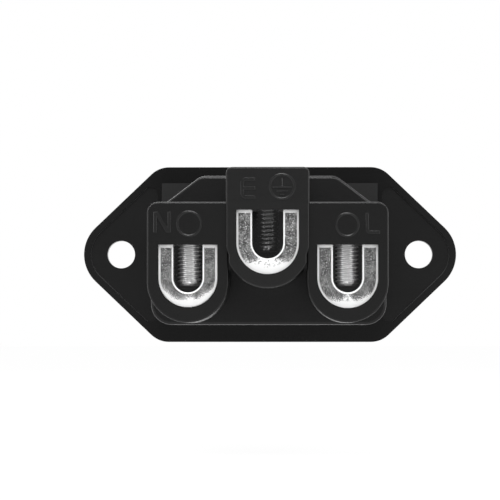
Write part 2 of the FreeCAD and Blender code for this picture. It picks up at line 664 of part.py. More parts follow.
def make_screw(name, centre, rise, proud, turn):
    """A slotted screw, drawn with its head's underside at the origin and then put in place."""
    screw = new_body(f"{name}_screw")
    shank = "(dims.thread_diameter / 2 - dims.thread_gap)"
    head = half("dims.head_diameter")
    profile = outline(sketch_on(screw, "profile", "XZ_Plane", NOTHING), [
        (NOTHING, minus("dims.screw_length")),
        (f"{shank} - dims.screw_point", minus("dims.screw_length")),
        (shank, "-dims.screw_length + dims.screw_point"),
        (shank, NOTHING), (head, NOTHING),
        (head, "dims.head_height - dims.head_bevel"),
        (f"{head} - dims.head_bevel", "dims.head_height"),
        (NOTHING, "dims.head_height")])
    turned = screw.newObject("PartDesign::Revolution", "turned")
    turned.Profile = profile
    turned.ReferenceAxis = (profile, ["V_Axis"])
    turned.Angle = 360
    doc.recompute()
    cut = box_outline(sketch_on(screw, "driver_outline", "XY_Plane", "dims.head_height"),
                      minus("dims.head_diameter"), "dims.head_diameter",
                      minus(half("dims.driver_width")), half("dims.driver_width"))
    pocket(screw, "driver_slot", cut, "dims.driver_depth")
    put(screw, centre, f"places.screw_line + {proud}", f"places.head_level + {rise}")
    screw.Placement.Rotation = FreeCAD.Rotation(FreeCAD.Vector(0, 0, 1), turn)
    return screw


def put(body, across, back, up):
    """Bind a body's place to three formulas."""
    for axis, formula in (("x", across), ("y", back), ("z", up)):
        body.setExpression(f"Placement.Base.{axis}", formula)


PINS = [
    ("neutral", half("dims.pin_spacing"), "dims.pin_level"),
    ("line", minus(half("dims.pin_spacing")), "dims.pin_level"),
    ("earth", NOTHING, "dims.earth_pin_level"),
]
# Each terminal: name, middle, level of its bend, slot, and how far it is raised and set back.
TERMINALS = [
    ("neutral", "places.terminal_out", "places.bend_level", "dims.slot_width", NOTHING, NOTHING),
    ("line", minus("places.terminal_out"), "places.bend_level", "dims.slot_width", NOTHING, NOTHING),
    ("earth", NOTHING, "places.earth_bend", "dims.earth_slot", "dims.earth_rise", "dims.earth_proud"),
]
SETBACKS = {"neutral": "dims.pin_setback", "line": "dims.pin_setback", "earth": "dims.earth_setback"}
# How far each screw's driver slot happens to be turned, in degrees.
TURNS = {"neutral": 25.0, "line": -40.0, "earth": 65.0}

bodies = [make_front_shell(), make_terminal_block()]
for (name, centre, bend, slot, rise, proud), (_, pin, pin_level) in zip(TERMINALS, PINS):
    bodies.append(make_contact(name, centre, bend, slot, rise, proud, pin, pin_level, SETBACKS[name]))
    bodies.append(make_nut(name, centre, slot, rise, proud))
    bodies.append(make_screw(name, centre, rise, proud, TURNS[name]))

doc.recompute()
for item in doc.Objects:
    if any(state in ("Invalid", "Error") for state in item.State):
        raise RuntimeError(f"{item.Label} failed: {item.State}")
for body in bodies:
    shape = body.Shape
    if shape.isNull() or not shape.isValid() or len(shape.Solids) != 1:
        raise RuntimeError(f"{body.Label} is not one sound solid")

os.makedirs(FOLDER, exist_ok=True)
for body in bodies:
    body.Shape.exportStep(os.path.join(FOLDER, body.Label + ".step"))
    print(body.Label, round(body.Shape.Volume, 2))
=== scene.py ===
# %% [markdown]
# # A panel inlet socket, seen from its terminals
#
# The inlet is a black plastic moulding with three terminals. In each one a bright strip is bent to a U,
# and a clamp screw comes down into it. The engineering model gives every solid its place, and this
# script loads it first. Everything that follows is set in that frame, in metres.

# %% Load the frame
import math
from types import SimpleNamespace
import bmesh
import bpy
from mathutils import Matrix, Vector


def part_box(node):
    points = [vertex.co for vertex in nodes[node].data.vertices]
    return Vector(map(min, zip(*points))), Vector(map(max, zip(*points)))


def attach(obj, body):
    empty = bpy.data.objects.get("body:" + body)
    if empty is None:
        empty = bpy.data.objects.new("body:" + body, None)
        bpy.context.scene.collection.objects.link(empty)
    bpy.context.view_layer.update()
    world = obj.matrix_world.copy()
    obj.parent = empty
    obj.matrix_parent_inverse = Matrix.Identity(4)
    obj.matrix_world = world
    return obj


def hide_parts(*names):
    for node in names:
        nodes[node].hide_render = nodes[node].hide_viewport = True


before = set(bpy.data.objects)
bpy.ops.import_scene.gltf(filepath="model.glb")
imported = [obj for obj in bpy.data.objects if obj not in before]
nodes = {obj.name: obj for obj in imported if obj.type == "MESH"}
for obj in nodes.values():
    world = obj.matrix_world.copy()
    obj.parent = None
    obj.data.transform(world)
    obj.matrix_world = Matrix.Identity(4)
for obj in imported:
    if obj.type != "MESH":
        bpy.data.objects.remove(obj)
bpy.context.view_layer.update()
MM = 0.001
CLOSE = 1e-7  # metres; corners nearer than this are in one place
TERMINALS = ("neutral", "line", "earth")

# %% [markdown]
# ## The camera
#
# The photo was taken from behind, a little to one side and a little low, with a long lens. The far
# flange is drawn smaller than the towers that stand 30 mm nearer, and that ratio gives the distance.
# A camera with that distance and field of view puts every edge where the photo has it.

# %% Camera
CAMERA_PLACE = Vector((-2.9, 332.0, -10.8)) * MM
CAMERA_AIM = Vector((2.66, 0.0, 0.6)) * MM
VIEW_WIDTH = 67.17 * MM
SENSOR = 36.0
SEEN_FROM, SEEN_TO = 10 * MM, 20.0

bpy.context.scene.view_settings.view_transform = "Standard"
lens = bpy.data.cameras.new("camera")
lens.sensor_width = SENSOR
lens.lens = SENSOR * CAMERA_PLACE.y / VIEW_WIDTH
lens.clip_start, lens.clip_end = SEEN_FROM, SEEN_TO
camera = bpy.data.objects.new("camera", lens)
camera.location = CAMERA_PLACE
camera.rotation_mode = "QUATERNION"
camera.rotation_quaternion = (CAMERA_AIM - CAMERA_PLACE).to_track_quat("-Z", "Y")
bpy.context.scene.collection.objects.link(camera)
bpy.context.scene.camera = camera
print("lens, mm:", round(lens.lens, 1))

# %% [markdown]
# ## Sockets that can be added and multiplied
#
# A material is a graph of nodes, and most of its links are plain arithmetic. It reads best as an
# expression, so one small class wraps a socket: an operator on it adds a Math node, and one method
# adds a node of any other kind.


# %% The wire class
class Wire:
    """An output socket of a material. Arithmetic on it adds Math nodes to the same tree."""

    def __init__(self, socket):
        self.socket = socket
        self.tree = socket.id_data

    def node(self, kind, settings=None, inputs=None, output=0):
        """Add a node: first its settings, then the values or wires of its inputs."""
        made = self.tree.nodes.new(kind)
        for name, setting in (settings or {}).items():
            setattr(made, name, setting)
        for key, value in (inputs or {}).items():
            if isinstance(value, Wire):
                self.tree.links.new(value.socket, made.inputs[key])
            else:
                made.inputs[key].default_value = value
        return Wire(made.outputs[output]) if made.outputs else None

    def maths(self, operation, *others):
        """A Math node on this wire and other wires or numbers."""
        return self.node("ShaderNodeMath", {"operation": operation}, dict(enumerate((self, *others))))

    def __add__(self, other):
        return self.maths("ADD", other)

    __radd__ = __add__

    def __mul__(self, other):
        return self.maths("MULTIPLY", other)

    __rmul__ = __mul__

    def __sub__(self, other):
        return self.maths("SUBTRACT", other)

    def __rsub__(self, other):
        return self * -1.0 + other

    def rise(self, low, high):
        """0 below low, 1 above high, and smooth between them."""
        return self.node("ShaderNodeMapRange", {"interpolation_type": "SMOOTHSTEP"},
                         {"Value": self, "From Min": low, "From Max": high})

    def blend(self, low, high):
        """The colour low where this wire is 0, and high where it is 1."""
        return self.node("ShaderNodeMix", {"data_type": "RGBA"}, {0: self, 6: low, 7: high}, 2)

    def noise(self, scale, detail=3.0, roughness=0.5):
        """A cloudy pattern from 0 to 1 on this vector, with this many lumps to the metre."""
        return self.node("ShaderNodeTexNoise", None,
                         {"Vector": self, "Scale": scale, "Detail": detail, "Roughness": roughness})

    def axis(self, number):
        """One coordinate of this vector: 0 is X, 1 is Y and 2 is Z."""
        return self.node("ShaderNodeSeparateXYZ", None, {"Vector": self}, number)

    def stretched(self, along, across, up):
        """This vector with its three axes scaled."""
        return self.node("ShaderNodeMapping", None, {"Vector": self, "Scale": (along, across, up)})


# %% [markdown]
# ## A finish
#
# Every material starts from the same two ends: coordinates that stay on the object, and one shader.
# What is the same all over the surface is written on the shader's own socket, and what changes is
# linked to it. A bump is shallow relief in the shading, for grain too fine to model.


# %% Start and end of a material
def start_finish(name):
    """A new material, and its object's coordinates as a wire."""
    material = bpy.data.materials.new(name)
    material.use_nodes = True
    material.node_tree.nodes.clear()
    coordinates = material.node_tree.nodes.new("ShaderNodeTexCoord")
    return material, Wire(coordinates.outputs["Object"])


def end_finish(material, place, varied, constants, relief=None, height=0.0):
    """Close a material with its shader. relief is a wire, and height how far it rises, in metres."""
    inputs = {**constants, **varied}
    if relief is not None:
        inputs["Normal"] = place.node("ShaderNodeBump", None,
                                      {"Strength": 1.0, "Distance": height, "Height": relief})
    shader = place.node("ShaderNodeBsdfPrincipled", None, inputs)
    shader.node("ShaderNodeOutputMaterial", None, {"Surface": shader})
    return material


def grey(level):
    """A grey as a colour."""
    return (level, level, level, 1.0)


# %% [markdown]
# ## Where the plastic changes, and where light is painted
#
# Some faces of the mouldings are paler than the rest: the low step behind the flange, the recess in
# each wing, and the face of the earth tower. The recess's bevelled rim is painted far paler still,
# painted light that lifts the shade its bevel falls in. Each is level and lies at a place of its own
# along Y, so a band of that coordinate picks it out, without a mask to paint.
#
# The walls deep in the slots aren't quite black: they are painted a paler grey and glow by a small
# amount, painted light that stands in for what the plastic would scatter into so narrow a hole. A
# distance picks them out: a wall follows its strip's bend just outside it, and higher up it follows
# the legs.


# %% Masks on the mouldings
FLOOR_BACK, EARTH_FACE = (corner.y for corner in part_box("terminal_block"))
STEP_FACE = 1.5 * MM
RECESS_FLOOR = -0.25 * MM
RECESS_RIM = -0.11 * MM
BAND_EDGE = 0.02 * MM
WALL_ROOM = 0.3 * MM
WALL_SKIN = 0.05 * MM
LIP_DEPTH = 0.1 * MM
ROOF_RISE = 1.0 * MM


def between(wire, low, high, soft):
    """1 where the wire lies between two values, with soft limits."""
    return wire.rise(low - soft, low) * (1 - wire.rise(high, high + soft))


def painted_light_walls(place):
    """1 on the walls of the three chambers that the U-shaped slots open."""
    across, back, up = (place.axis(number) for number in range(3))
    inside = None
    for name in TERMINALS:
        low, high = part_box(f"{name}_contact")
        centre, radius = (low.x + high.x) / 2, (high.x - low.x) / 2
        depth = (up - (low.z + radius)).maths("MINIMUM", 0.0)
        reach = ((across - centre) * (across - centre) + depth * depth).maths("SQRT")
        here = reach.maths("LESS_THAN", radius + WALL_ROOM)
        here = here * up.maths("LESS_THAN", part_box(f"{name}_nut")[0].z + ROOF_RISE)
        here = here * back.maths("LESS_THAN", high.y - LIP_DEPTH)
        inside = here if inside is None else inside.maths("MAXIMUM", here)
    return inside * back.maths("GREATER_THAN", FLOOR_BACK - WALL_SKIN)


# %% [markdown]
# ## Black plastic
#
# The mouldings are black and satin. What the eye sees on them is mostly gloss, so the colour itself is
# almost black, and the gloss does the work. A new moulding isn't even: flow leaves faint clouds, and
# streaks along the wings. The wings are painted paler towards their ends, painted light where the body
# no longer shades them. The mould's spark-eroded steel leaves a fine grain.
# The marks are of the same plastic, a shade lighter.

# %% Black plastic
CLOUDS, STREAKS, GRAIN = 260.0, 2600.0, 9000.0  # lumps to the metre
GRAIN_HEIGHT = 0.0018 * MM
WING_ENDS = (13.0 * MM, 21.0 * MM)
# Painted light on the chamber walls: a paler grey and a faint glow.
WALL_PAINTED_LIGHT = 0.02
PAINTED_GLOW = 0.013


def black_plastic(name, level, shine, paler, ends=1.0):
    """Satin plastic. paler lists faces: place along Y, reach either way, and how many times as light."""
    material, place = start_finish(name)
    clouds = place.stretched(0.35, 1.0, 1.0).noise(CLOUDS, 4.0, 0.6).rise(0.3, 0.7)
    streaks = place.stretched(0.04, 1.0, 1.0).noise(STREAKS, 3.0).rise(0.35, 0.75)
    tone = clouds * 0.6 + streaks * 0.4
    # Painted light: towards the wing ends the colour is paler, where the body no longer shades the wings.
    unshaded_ends = place.axis(0).maths("ABSOLUTE").rise(*WING_ENDS)
    middle = tone.blend(grey(level), grey(level * 1.6))
    colour = unshaded_ends.blend(middle, tone.blend(grey(level * ends), grey(level * ends * 1.3)))
    for face, reach, times in paler:
        band = between(place.axis(1), face - reach, face + reach, BAND_EDGE)
        colour = band.blend(colour, grey(level * times))
    # The chamber walls are painted paler and glow a little: painted light in the narrow slots.
    walls = painted_light_walls(place)
    print(name, "colour", level, "to", round(level * 1.6, 4))
    return end_finish(material, place, {"Base Color": walls.blend(colour, grey(WALL_PAINTED_LIGHT)),
                                        "Roughness": 0.24 - tone * 0.05,
                                        "Emission Color": walls.blend(grey(0.0), grey(PAINTED_GLOW))},
                      {"Specular IOR Level": shine, "Emission Strength": 1.0},
                      place.noise(GRAIN, 2.0), GRAIN_HEIGHT)


# On the shell the recess rim is painted thirty times paler, painted light that lifts the shade on its bevel.
shell_plastic = black_plastic("shell_plastic", 0.0013, 0.22, [
    (STEP_FACE, 0.02 * MM, 16.0), (RECESS_FLOOR, 0.02 * MM, 6.0), (RECESS_RIM, 0.08 * MM, 30.0)], ends=4.6)
block_plastic = black_plastic("block_plastic", 0.0036, 0.30, [(EARTH_FACE, 0.04 * MM, 2.4)])
mark_plastic = black_plastic("mark_plastic", 0.0060, 0.36, [])

# %% [markdown]
# ## Bright strip
#
# The contacts are sheared from plated brass strip and bent. The sheared edge that faces the camera has
# burnished rims and a torn, grainy grey middle, and round the outside of the bend it is stretched
# smooth. The rims, the cut at the top of each window and the smooth part are painted nearly white and
# mostly matt, painted highlights and a painted reflection on faces that really are burnished or smooth.
# No coordinate follows a bent strip, so attributes on the mesh do: how far across the strip a point
# lies, from -1 at its inner side to 1 at its outer side, how far across the smooth part starts there,
# how deep under the window's top it is, and whether its face is sheared.


# %% Sheared strip
MOTTLE, PATCHES, SCALLOPS, SPECKS = 8000.0, 1500.0, 700.0, 3600.0  # lumps to the metre
TEAR_HEIGHT = 0.03 * MM
# Near white on burnished and smooth metal, a painted highlight.
BURNISH_HIGHLIGHT = 0.98


def sheared_strip(name):
    """The clamp's finish: torn and grey in the middle, painted near white at its smooth rims and bend."""
    material, place = start_finish(name)
    across, smooth_and_highlight_from, below, sheared = (
        place.node("ShaderNodeAttribute", {"attribute_name": called}, None, 2)
        for called in ("across", "smooth_and_highlight_from", "below_window", "sheared"))
    mottle = place.noise(MOTTLE, 3.0, 0.6)
    patches = place.noise(PATCHES, 4.0, 0.6)
    scallops = place.noise(SCALLOPS, 2.0)

    # The rims, painted as highlights: the outer side, the inner side, and the cut at the top of the window.
    rim = across.rise(0.62, 0.74).maths("MAXIMUM", (-1 * across).rise(0.74, 0.86))
    rim = rim.maths("MAXIMUM", 1 - below.rise(0.26, 0.42))

    # The stretched part has a scalloped, grainy border, and dark specks towards the inner side.
    stretch = across - smooth_and_highlight_from + (scallops - 0.5) * 0.3 + (mottle - 0.5) * 1.5
    specks = place.noise(SPECKS, 2.0).rise(0.5, 0.58) * (1 - across.rise(-0.1, 0.3)) * 0.75
    burnish_and_highlight = rim.maths("MAXIMUM", stretch.rise(-0.15, 0.15) * (1 - specks))

    # What is left is torn: dark to middling grey, with bright grains that gather near the border.
    torn = (mottle * 0.6 + patches * 0.4).rise(0.38, 0.62).blend(grey(0.035), grey(0.23))
    torn = mottle.rise(0.56, 0.68).blend(torn, grey(0.62))
    torn = (stretch.rise(-0.6, 0.0) * mottle.rise(0.4, 0.6) * 0.6).blend(torn, grey(0.75))
    rolled = patches.blend(grey(0.66), grey(0.84))
    # Where burnished or smooth, the strip is painted near white and mostly matt: painted highlight and
    # reflection.
    return end_finish(material, place,
                      {"Base Color": sheared.blend(rolled, burnish_and_highlight.blend(torn, grey(BURNISH_HIGHLIGHT))),
                       "Roughness": sheared * (0.28 - burnish_and_highlight * 0.24) + 0.22,
                       "Metallic": 1 - sheared * (burnish_and_highlight * 0.82 + 0.1)},
                      {}, mottle * (1 - burnish_and_highlight) * sheared, TEAR_HEIGHT)


strip_edge = sheared_strip("strip_edge")
print("strip_edge nodes:", len(strip_edge.node_tree.nodes))

# %% [markdown]
# ## Drawn metal
#
# The pins, nuts and screws are plain metal with fine lines from rolling or turning, and a faint tarnish
# that makes them uneven. Like the chamber walls round them, the nuts and screws glow faintly, painted
# light that stands in for what the plastic would scatter, and the pins glow a third as much.

# %% Drawn metal
TARNISH, LINES = 700.0, 6000.0  # lumps to the metre
LINE_HEIGHT = 0.0015 * MM


def drawn_metal(name, level, rough, glow_level=PAINTED_GLOW):
    """Plain plated or rolled metal with fine lines in it and faint cloudy tarnish."""
    material, place = start_finish(name)
    cloud = place.noise(TARNISH, 4.0, 0.6)
    line = place.stretched(1.0, 0.06, 0.4).noise(LINES, 2.0)
    tone = cloud * 0.6 + line * 0.4
    colour = tone.blend(grey(level * 0.72), grey(level))
    print(name, "colour", round(level * 0.72, 3), "to", level)
    # The emission is a painted glow, not a lamp.
    return end_finish(material, place, {"Base Color": colour, "Roughness": rough + cloud * 0.16},
                      {"Metallic": 1.0, "Emission Color": grey(glow_level), "Emission Strength": 1.0},
                      line, LINE_HEIGHT)


blade_metal = drawn_metal("blade_metal", 0.84, 0.16, PAINTED_GLOW * 0.3)
nut_metal = drawn_metal("nut_metal", 0.66, 0.3)
screw_metal = drawn_metal("screw_metal", 0.86, 0.22)
dark_screw_metal = drawn_metal("dark_screw_metal", 0.07, 0.1)

# %% [markdown]
# ## Making a piece
#
# A bmesh is Blender's mesh under construction. When its shape is finished it becomes an object that
# rides on a body of the frame. Flat faces stay flat and curves look smooth if the edges between
# them are marked sharp by their angle.

# %% Piece helpers
SHARP = math.radians(32)
LEVEL = math.radians(0.5)
JOIN = 0.0005 * MM


def finish_piece(form, name, body, material, replaced=(), smooth=True, sharp=SHARP):
    """Make the bmesh an object, let it ride on a body and stand for CAD nodes."""
    mesh = bpy.data.meshes.new(name)
    form.to_mesh(mesh)
    form.free()
    mesh.materials.append(material)
    if smooth:
        mesh.shade_smooth()
        mesh.set_sharp_from_angle(angle=sharp)
    piece = bpy.data.objects.new(name, mesh)
    bpy.context.scene.collection.objects.link(piece)
    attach(piece, body)
    if replaced:
        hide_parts(*replaced)
    print(name, len(mesh.polygons), "faces")
    return piece


def node_copy(name):
    """A CAD node's mesh as a bmesh whose triangles are joined again to flat faces."""
    form = bmesh.new()
    form.from_mesh(nodes[name].data)
    bmesh.ops.remove_doubles(form, verts=form.verts, dist=JOIN)
    bmesh.ops.dissolve_limit(form, angle_limit=LEVEL, verts=form.verts, edges=form.edges)
    return form


# %% [markdown]
# ## The two mouldings
#
# The shell and the terminal block are as they should be in the engineering model, down to the fine
# rounds that catch the light as thin lines along the towers. Both stay, as the nuts do, and only get
# their finish.

# %% Shell, terminal block and nuts
def dress(name, material):
    """Give a CAD node its finish."""
    mesh = nodes[name].data
    mesh.materials.clear()
    mesh.materials.append(material)
    print(name, "wears", material.name)


dress("front_shell", shell_plastic)
dress("terminal_block", block_plastic)
for name in TERMINALS:
    dress(f"{name}_nut", nut_metal)

# %% [markdown]
# ## The clamps
#
# A clamp is a strip on edge, bent round a mandrel. Its section is drawn once at the top of a leg. It is
# pulled down the leg, spun half a turn round the bend and pulled up the other leg, which is also how
# the strip is bent. The section has four points along each side, so that the legs get an edge on
# either side of the nut. The neutral strip is a little thinner than the others, as the photo shows it.

# %% Bend the clamps
STRIP = 2.0 * MM
THINNER = {"neutral": 0.15 * MM, "line": 0.0, "earth": 0.0}
STRIP_WIDTH = 9.4 * MM
BEND_STEPS = 48
NUT_ROOM = 0.05 * MM
NUT_LIFT = 0.15 * MM  # how far the window's top lies under the nut


def clamp_places(name):
    """Where a clamp's bend, legs, nut and window lie, from the boxes of its CAD nodes."""
    low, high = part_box(f"{name}_contact")
    nut_low, nut_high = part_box(f"{name}_nut")
    radius = (high.x - low.x) / 2 - THINNER[name]
    bend = low.z + radius + THINNER[name]
    return SimpleNamespace(
        centre=(low.x + high.x) / 2, radius=radius, strip=STRIP - THINNER[name], bend=bend, top=high.z,
        levels=[nut_high.z + NUT_ROOM, nut_low.z, bend], window_top=nut_low.z - NUT_LIFT,
        ways=[high.y - STRIP_WIDTH, nut_low.y - NUT_ROOM, nut_high.y + NUT_ROOM, high.y])


def pulled(form, face, height):
    """Pull a level face up or down to a height."""
    made = bmesh.ops.extrude_face_region(form, geom=[face, *face.edges, *face.verts])["geom"]
    for corner in (item for item in made if isinstance(item, bmesh.types.BMVert)):
        corner.co.z = height
    return next(item for item in made if isinstance(item, bmesh.types.BMFace))


def bent_strip(at):
    """A U-shaped clamp as a bmesh."""
    left = at.centre - at.radius
    section = [(left, way) for way in at.ways] + [(left + at.strip, way) for way in reversed(at.ways)]
    form = bmesh.new()
    face = form.faces.new([form.verts.new((across, way, at.top)) for across, way in section])
    for level in at.levels:
        face = pulled(form, face, level)
    turned = bmesh.ops.spin(form, geom=[face, *face.edges, *face.verts], cent=(at.centre, 0, at.bend),
                            axis=(0, 1, 0), angle=-math.pi, steps=BEND_STEPS, use_merge=False)
    face = next(item for item in turned["geom_last"] if isinstance(item, bmesh.types.BMFace))
    for level in (*reversed(at.levels[:-1]), at.top):
        face = pulled(form, face, level)
    print("bent strip, cubic mm:", round(form.calc_volume() / MM ** 3, 2))
    return form


# %% [markdown]
# ## Windows and rims
#
# The nut passes through both legs. Where it does, a leg's two faces are deleted and the rims of the
# two holes bridged, which walls the window in one step. The long edges of the strip are rounded by a
# tenth of a millimetre, as shearing leaves them.

# %% Open and round the clamps
RIM_ROUND = 0.1 * MM


def open_windows(form, at):
    """Open both legs for the nut, and wall the openings."""
    legs = {True: [], False: []}
    for face in form.faces:
        middle = face.calc_center_median()
        if at.levels[1] < middle.z < at.levels[0] and at.ways[1] < middle.y < at.ways[2]:
            legs[middle.x > at.centre].append(face)
    for side in (True, False):
        rims = [edge for face in legs[side] for edge in face.edges]
        bmesh.ops.delete(form, geom=legs[side], context="FACES_ONLY")
        bmesh.ops.bridge_loops(form, edges=rims)


def round_rims(form, at):
    """Round the four long edges of the strip and its cut ends."""
    def on_rim(edge):
        return all(min(abs(corner.co.y - at.ways[0]), abs(corner.co.y - at.ways[-1])) < CLOSE
                   for corner in edge.verts) and edge.calc_face_angle(0) > SHARP
    bmesh.ops.bevel(form, geom=[edge for edge in form.edges if on_rim(edge)], offset=RIM_ROUND,
                    segments=3, affect="EDGES", profile=0.5, material=-1, clamp_overlap=True)


# %% [markdown]
# ## What the strip's finish reads
#
# Each bend was stretched in its own way. Going round it, from 90 degrees on one leg through its lowest
# point to 90 degrees on the other, a few points say how far across the strip the smooth part starts:
# above 1 there is none, and below -1 it covers the strip. Straight lines between them are enough,
# because the material makes the border uneven.

# %% Attributes of the clamps
FACING = 0.3
NOT_SMOOTH = 1.2
SMOOTH_FROM = {
    "neutral": [(-62, 0.6), (-46, 0.1), (-22, 0.05), (-10, -0.35), (5, -0.35), (20, 0.13), (52, 0.36)],
    "line": [(-60, 1.0), (-50, 0.5), (-17, 0.15), (0, -0.9), (18, 0.2), (38, 0.53), (56, 1.0)],
    "earth": [(-58, 0.9), (-44, 0.3), (-30, -0.5), (-14, -1.2), (12, -1.2), (28, -0.9), (40, 0.2), (56, 0.8)],
}


def smooth_from(name, turn):
    """How far across the strip its smooth part starts, so many degrees round the bend."""
    points = [(-90, NOT_SMOOTH), *SMOOTH_FROM[name], (90, NOT_SMOOTH)]
    for (turn_a, start_a), (turn_b, start_b) in zip(points, points[1:]):
        if turn <= turn_b:
            return start_a + (start_b - start_a) * (turn - turn_a) / (turn_b - turn_a)
    return NOT_SMOOTH


def mark_strip(mesh, name, at):
    """Write the four attributes that a clamp's finish reads, three on its corners and one on its faces."""
    across, smooth_and_highlight_start, below = (mesh.attributes.new(called, "FLOAT", "POINT")
                             for called in ("across", "smooth_and_highlight_from", "below_window"))
    for corner in mesh.vertices:
        depth = min(corner.co.z - at.bend, 0.0)
        side = corner.co.x - at.centre
        half = at.strip / 2
        across.data[corner.index].value = (math.hypot(side, depth) - at.radius + half) / half
        smooth_and_highlight_start.data[corner.index].value = smooth_from(name, math.degrees(math.atan2(side, -depth)))
        below.data[corner.index].value = (at.window_top - corner.co.z) / MM
    sheared = mesh.attributes.new("sheared", "FLOAT", "FACE")
    for face in mesh.polygons:
        sheared.data[face.index].value = float(abs(face.normal.y) > FACING)


# %% Make the clamps
for name in TERMINALS:
    at = clamp_places(name)
    form = bent_strip(at)
    open_windows(form, at)
    round_rims(form, at)
    bmesh.ops.recalc_face_normals(form, faces=form.faces)
    clamp = finish_piece(form, f"{name}_clamp", "housing", strip_edge, [f"{name}_contact"])
    mark_strip(clamp.data, name, at)

# %% [markdown]
# ## The pins
#
# The pin is the same strip, led forward from the clamp's inner leg and through the wall. Its CAD shape
# is right, so a copy of the node is cut off where the clamp starts. A Bevel modifier rounds its edges,
# which is simpler than picking them by hand where all of them get the same round.

# %% Pins
PIN_ROUND = 0.12 * MM
ROUND_FROM = math.radians(40)


def rounded(piece):
    """Round a piece's sharp edges with a modifier."""
    bevel = piece.modifiers.new("edges", "BEVEL")
    bevel.width = PIN_ROUND
    bevel.segments = 2
    bevel.limit_method = "ANGLE"
    bevel.angle_limit = ROUND_FROM
    bevel.harden_normals = True


for name in TERMINALS:
    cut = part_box(f"{name}_contact")[1].y - STRIP_WIDTH
    form = node_copy(f"{name}_contact")
    bmesh.ops.bisect_plane(form, geom=[*form.verts, *form.edges, *form.faces], dist=CLOSE,
                           plane_co=(0, cut, 0), plane_no=(0, 1, 0), clear_outer=True)
    bmesh.ops.holes_fill(form, edges=[edge for edge in form.edges if edge.is_boundary])
    rounded(finish_piece(form, f"{name}_pin", "housing", blade_metal))

# %% [markdown]
# ## The screws
#
# A thread is a small profile that climbs while it turns. Spin does both at once when it is given a
# climb for each step. The long helix is then cut off level at both ends, and its tip is tapered so
# that it starts in the nut. The slotted head is the CAD node's own. Flat crests and valleys between
# steep flanks catch the light as fine lines. The dark earth screw has sharper ones, and shows only a
# thin gleam on each turn.

# %% Screws
PITCH = 0.5 * MM
THREAD_SHARP = math.radians(30)
THREAD_DEPTH = 0.28 * MM
THREAD_MERGE = 0.002 * MM
STEPS_PER_TURN = 32
SHANK = 1.45 * MM
TIP_TAPER = 0.35 * MM
HEAD_HEIGHT = 1.5 * MM
NECK_OVERLAP = 0.1 * MM
HEAD_CUT = 0.001 * MM


def threaded_shank(form, centre, way, tip, top, crest, valley):
    """A threaded rod between two heights, closed at both ends. crest and valley are how high each is."""
    root = SHANK - THREAD_DEPTH
    flank = (PITCH - crest - valley) / 2
    rises = [(SHANK, 0.0), (SHANK, crest), (root, crest + flank), (root, PITCH - flank), (SHANK, PITCH)]
    start = tip - 2 * PITCH
    line = [form.verts.new((centre + reach, way, start + rise)) for reach, rise in rises]
    edges = [form.edges.new(pair) for pair in zip(line, line[1:])]
    turns = math.ceil((top - start) / PITCH) + 1
    bmesh.ops.spin(form, geom=[*line, *edges], cent=(centre, way, 0), axis=(0, 0, 1),
                   dvec=(0, 0, PITCH / STEPS_PER_TURN), angle=turns * math.tau,
                   steps=turns * STEPS_PER_TURN, use_merge=False)
    bmesh.ops.remove_doubles(form, verts=form.verts, dist=THREAD_MERGE)
    for height, way_out in ((tip, -1), (top, 1)):
        bmesh.ops.bisect_plane(form, geom=[*form.verts, *form.edges, *form.faces], dist=CLOSE / 10,
                               plane_co=(0, 0, height), plane_no=(0, 0, way_out), clear_outer=True)
        rim = [edge for edge in form.edges if edge.is_boundary
               and all(abs(corner.co.z - height) < CLOSE for corner in edge.verts)]
        bmesh.ops.holes_fill(form, edges=rim)
    for corner in form.verts:
        flat = Vector((corner.co.x - centre, corner.co.y - way))
        most = SHANK - TIP_TAPER + (corner.co.z - tip)
        if flat.length > most:
            flat *= most / flat.length
            corner.co.x, corner.co.y = centre + flat.x, way + flat.y
    return form


def add_head(form, name, neck):
    """Add the head of a screw's CAD node to a bmesh, by way of a spare mesh."""
    head = node_copy(f"{name}_screw")
    bmesh.ops.bisect_plane(head, geom=[*head.verts, *head.edges, *head.faces], dist=CLOSE,
                           plane_co=(0, 0, neck + HEAD_CUT), plane_no=(0, 0, -1), clear_outer=True)
    bmesh.ops.holes_fill(head, edges=[edge for edge in head.edges if edge.is_boundary])
    spare = bpy.data.meshes.new("head")
    head.to_mesh(spare)
    head.free()
    form.from_mesh(spare)
    bpy.data.meshes.remove(spare)


# %% Make the screws
for name, metal, slot, crest, valley in (
        ("neutral", screw_metal, "screw_steel", 0.1 * MM, 0.12 * MM),
        ("line", screw_metal, "screw_steel", 0.1 * MM, 0.12 * MM),
        ("earth", dark_screw_metal, "dark_screw_steel", 0.06 * MM, 0.01 * MM)):
    low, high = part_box(f"{name}_screw")
    middle = (low + high) / 2
    neck = high.z - HEAD_HEIGHT
    shank = threaded_shank(bmesh.new(), middle.x, middle.y, low.z, neck + NECK_OVERLAP, crest, valley)
    bmesh.ops.recalc_face_normals(shank, faces=shank.faces)
    add_head(shank, name, neck)
    finish_piece(shank, f"{name}_thread", f"{name}_screw", metal, [f"{name}_screw"],
                 sharp=THREAD_SHARP)

# %% [markdown]
# ## The marks
#
# The terminals carry the usual letters N, L and E and the earth sign, each raised by a tenth of a
# millimetre in the same black plastic. A ring stands beside N and beside L. A letter could be a text
# object, but a flat outline with few corners gives its own proportions. It is pulled up and rounded
# along its edges. A ring is a small section spun round.

# %% Raised outlines and rings
LIP = 0.5 * MM
RELIEF = 0.11 * MM
SUNK = 0.05 * MM
MARK_ROUND = 0.1 * MM
RING_WIDTH = 0.3
RING_STEPS = 64
TOWER_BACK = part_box("neutral_contact")[1].y + LIP
EARTH_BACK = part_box("earth_contact")[1].y + LIP


